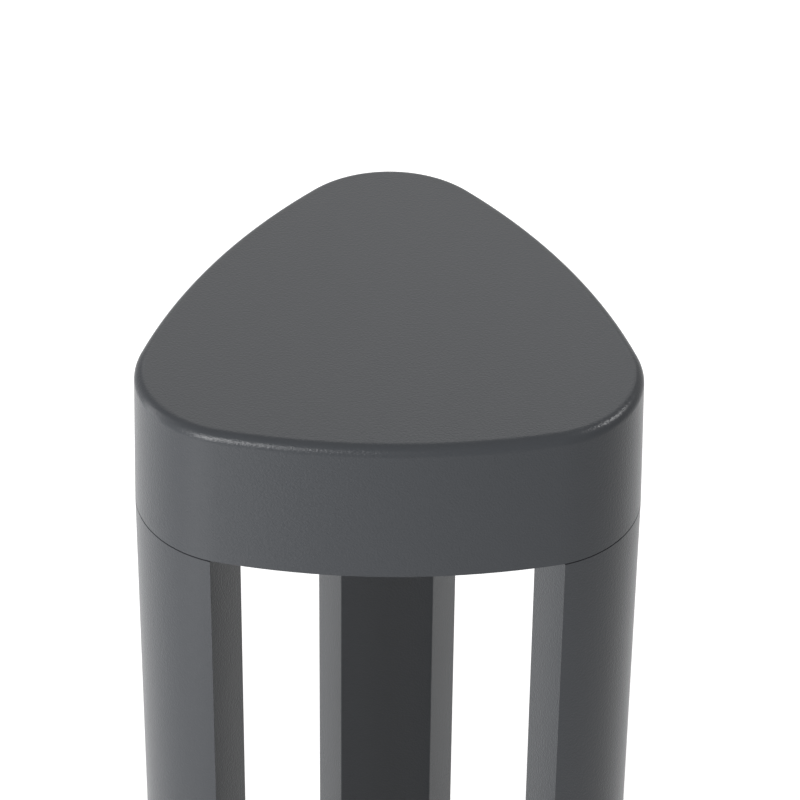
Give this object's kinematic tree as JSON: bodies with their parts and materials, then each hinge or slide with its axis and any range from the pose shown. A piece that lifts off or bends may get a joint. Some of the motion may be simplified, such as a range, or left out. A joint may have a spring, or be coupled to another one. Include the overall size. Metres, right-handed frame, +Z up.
{
  "type": "path light",
  "caption": "Path light for gardens and walkways: a rounded-triangle head on slim hollow legs over a low bolted base, with an opal diffuser shining down.",
  "frame": {"origin": "on the three-fold axis of the light, in the plane of the ground under the base", "axes": "+Z up along the light; +Y from the axis towards the rear leg; +X to the right of the two front legs"},
  "size_m": [0.1616, 0.1552, 0.6],
  "materials": {
    "coat": "anthracite satin powder coat over cast or extruded aluminium",
    "plate": "galvanised steel sheet",
    "fastener": "plain stainless steel",
    "seal": "matt black rubber",
    "opal": "opal polycarbonate",
    "board": "white solder resist on a metal-core board",
    "phosphor": "yellow lamp packages",
    "white_plastic": "moulded white plastic",
    "black_plastic": "moulded black polyamide",
    "lead": "smooth sheathed lead",
    "earth_lead": "green and yellow insulated lead"
  },
  "bodies": {
    "root": {"head_cover": "coat", "light_tray": "coat", "head_gasket": "seal", "leg_rear": "coat", "leg_left": "coat", "leg_right": "coat", "top_seal_rear": "seal", "top_seal_left": "seal", "top_seal_right": "seal", "bottom_seal_rear": "seal", "bottom_seal_left": "seal", "bottom_seal_right": "seal", "diffuser_ring": "coat", "diffuser": "opal", "diffuser_seal": "seal", "ring_screws": "fastener", "led_board": "board", "leds": "phosphor", "board_screws": "fastener", "led_driver": "white_plastic", "driver_screws": "fastener", "terminal_block": "white_plastic", "terminal_screws": "fastener", "earth_screw": "fastener", "cover_screws": "fastener", "leg_screws_top": "fastener", "leg_screws_bottom": "fastener", "base_casting": "coat", "mounting_plate": "plate", "base_screws": "fastener", "gland_body": "black_plastic", "gland_seal": "seal", "gland_nut": "black_plastic", "cable_grommet": "seal", "supply_tail": "lead", "board_tail": "lead", "earth_tail": "earth_lead"}
  },
  "joints": []
}
